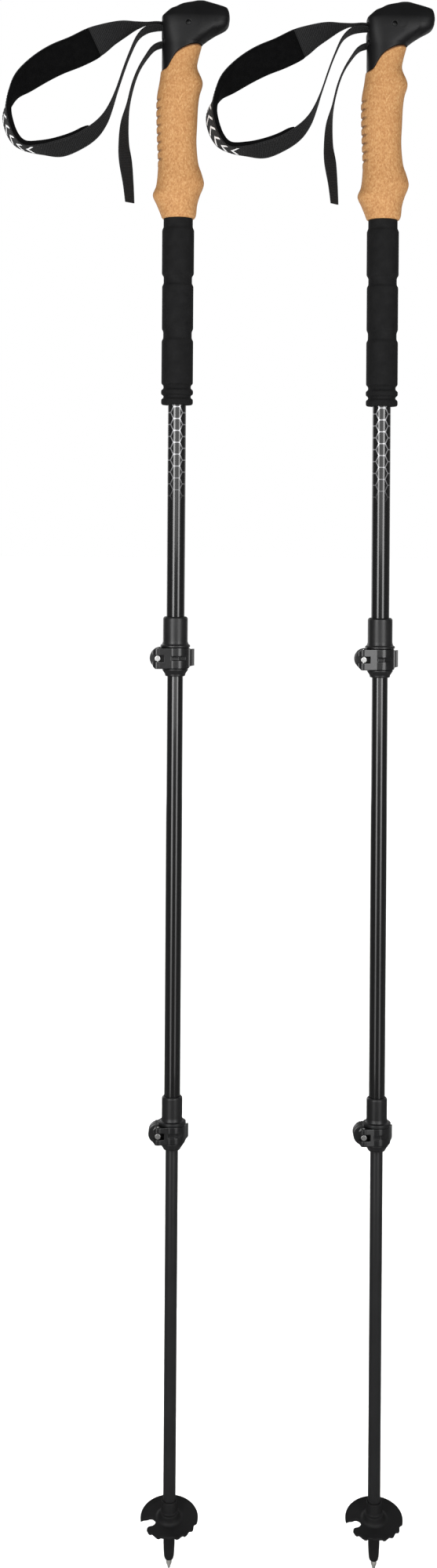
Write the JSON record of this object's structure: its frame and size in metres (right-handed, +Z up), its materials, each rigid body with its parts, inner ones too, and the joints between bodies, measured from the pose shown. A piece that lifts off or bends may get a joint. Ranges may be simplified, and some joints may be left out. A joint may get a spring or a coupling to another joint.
{
  "type": "trekking poles",
  "caption": "Pair of telescopic trekking poles with cork grips, padded wrist straps, cam-lever clamps, notched baskets and metal points.",
  "frame": {"origin": "the point of the left pole, where it meets the ground", "axes": "+Z up along the poles, +X from the left pole to the right one and towards the palm rests, +Y to the back"},
  "size_m": [0.3778, 0.0479, 1.3713],
  "materials": {
    "head_plastic": "soft-touch moulded, matte black",
    "cork": "pressed cork granules, light and dark specks, unsealed",
    "foam": "closed-cell EVA foam, matte black",
    "gloss_tube": "gloss black lacquer with a thin grey honeycomb outline print on the upper tube",
    "matte_tube": "matte black anodised, fine brushed grain along the tube",
    "clamp_plastic": "semi-gloss black moulded nylon",
    "pin_steel": "bright turned steel",
    "webbing": "black woven webbing with cross ribs",
    "pad_lining": "black brushed fleece",
    "guide_plastic": "natural acetal",
    "ferrule_plastic": "matte black moulded nylon",
    "carbide": "ground hard-metal point",
    "basket_plastic": "matte black moulded, slightly flexible"
  },
  "bodies": {
    "left_handle": {"left_grip_head": "head_plastic", "left_strap_pin": "pin_steel", "left_strap_webbing": "webbing", "left_strap_pad": "pad_lining", "left_cork_grip": "cork", "left_foam_grip": "foam", "left_upper_shaft": "gloss_tube", "left_upper_collar": "clamp_plastic", "left_upper_tension_bolt": "pin_steel"},
    "left_wedge": {"left_strap_wedge": "head_plastic"},
    "left_upper_lever": {"left_upper_lever": "clamp_plastic", "left_upper_lever_pin": "pin_steel"},
    "left_upper_nut": {"left_upper_tension_nut": "clamp_plastic"},
    "left_middle": {"left_middle_shaft": "gloss_tube", "left_middle_guide_plug": "guide_plastic", "left_lower_collar": "clamp_plastic", "left_lower_tension_bolt": "pin_steel"},
    "left_lower_lever": {"left_lower_lever": "clamp_plastic", "left_lower_lever_pin": "pin_steel"},
    "left_lower_nut": {"left_lower_tension_nut": "clamp_plastic"},
    "left_lower": {"left_lower_shaft": "matte_tube", "left_lower_guide_plug": "guide_plastic", "left_tip_ferrule": "ferrule_plastic", "left_carbide_tip": "carbide"},
    "left_basket": {"left_basket": "basket_plastic"},
    "right_handle": {"right_grip_head": "head_plastic", "right_strap_pin": "pin_steel", "right_strap_webbing": "webbing", "right_strap_pad": "pad_lining", "right_cork_grip": "cork", "right_foam_grip": "foam", "right_upper_shaft": "gloss_tube", "right_upper_collar": "clamp_plastic", "right_upper_tension_bolt": "pin_steel"},
    "right_wedge": {"right_strap_wedge": "head_plastic"},
    "right_upper_lever": {"right_upper_lever": "clamp_plastic", "right_upper_lever_pin": "pin_steel"},
    "right_upper_nut": {"right_upper_tension_nut": "clamp_plastic"},
    "right_middle": {"right_middle_shaft": "gloss_tube", "right_middle_guide_plug": "guide_plastic", "right_lower_collar": "clamp_plastic", "right_lower_tension_bolt": "pin_steel"},
    "right_lower_lever": {"right_lower_lever": "clamp_plastic", "right_lower_lever_pin": "pin_steel"},
    "right_lower_nut": {"right_lower_tension_nut": "clamp_plastic"},
    "right_lower": {"right_lower_shaft": "matte_tube", "right_lower_guide_plug": "guide_plastic", "right_tip_ferrule": "ferrule_plastic", "right_carbide_tip": "carbide"},
    "right_basket": {"right_basket": "basket_plastic"}
  },
  "joints": [
    {"name": "left_wedge_pull", "type": "slide", "parent": "left_handle", "child": "left_wedge", "axis": [-1, 0, 0], "range_m": [0, 0.006]},
    {"name": "left_upper_lever_open", "type": "hinge", "parent": "left_handle", "child": "left_upper_lever", "pos_m": [-0.015, -0.0102, 0.796], "axis": [0, 0, -1], "range_deg": [0, 150]},
    {"name": "left_upper_nut_turn", "type": "hinge", "parent": "left_handle", "child": "left_upper_nut", "pos_m": [-0.015, 0.01, 0.796], "axis": [0, 1, 0], "continuous": true},
    {"name": "left_lower_lever_open", "type": "hinge", "parent": "left_middle", "child": "left_lower_lever", "pos_m": [-0.012, -0.0094, 0.3805], "axis": [0, 0, -1], "range_deg": [0, 150]},
    {"name": "left_lower_nut_turn", "type": "hinge", "parent": "left_middle", "child": "left_lower_nut", "pos_m": [-0.012, 0.0114, 0.3805], "axis": [0, 1, 0], "continuous": true},
    {"name": "left_middle_slide", "type": "slide", "parent": "left_handle", "child": "left_middle", "axis": [0, 0, 1], "range_m": [0, 0.35]},
    {"name": "left_lower_slide", "type": "slide", "parent": "left_middle", "child": "left_lower", "axis": [0, 0, 1], "range_m": [0, 0.295]},
    {"name": "left_basket_unscrew", "type": "hinge", "parent": "left_lower", "child": "left_basket", "pos_m": [0, 0, 0.05], "axis": [0, 0, 1], "range_deg": [0, 540]},
    {"name": "right_pole_apart", "type": "slide", "parent": "left_handle", "child": "right_handle", "axis": [1, 0, 0], "range_m": [0, 0.3]},
    {"name": "right_wedge_pull", "type": "slide", "parent": "right_handle", "child": "right_wedge", "axis": [-1, 0, 0], "range_m": [0, 0.006]},
    {"name": "right_upper_lever_open", "type": "hinge", "parent": "right_handle", "child": "right_upper_lever", "pos_m": [0.164, -0.0102, 0.796], "axis": [0, 0, -1], "range_deg": [0, 150]},
    {"name": "right_upper_nut_turn", "type": "hinge", "parent": "right_handle", "child": "right_upper_nut", "pos_m": [0.164, 0.01, 0.796], "axis": [0, 1, 0], "continuous": true},
    {"name": "right_lower_lever_open", "type": "hinge", "parent": "right_middle", "child": "right_lower_lever", "pos_m": [0.167, -0.0094, 0.3805], "axis": [0, 0, -1], "range_deg": [0, 150]},
    {"name": "right_lower_nut_turn", "type": "hinge", "parent": "right_middle", "child": "right_lower_nut", "pos_m": [0.167, 0.0114, 0.3805], "axis": [0, 1, 0], "continuous": true},
    {"name": "right_middle_slide", "type": "slide", "parent": "right_handle", "child": "right_middle", "axis": [0, 0, 1], "range_m": [0, 0.35]},
    {"name": "right_lower_slide", "type": "slide", "parent": "right_middle", "child": "right_lower", "axis": [0, 0, 1], "range_m": [0, 0.295]},
    {"name": "right_basket_unscrew", "type": "hinge", "parent": "right_lower", "child": "right_basket", "pos_m": [0.179, 0, 0.05], "axis": [0, 0, 1], "range_deg": [0, 540]}
  ]
}
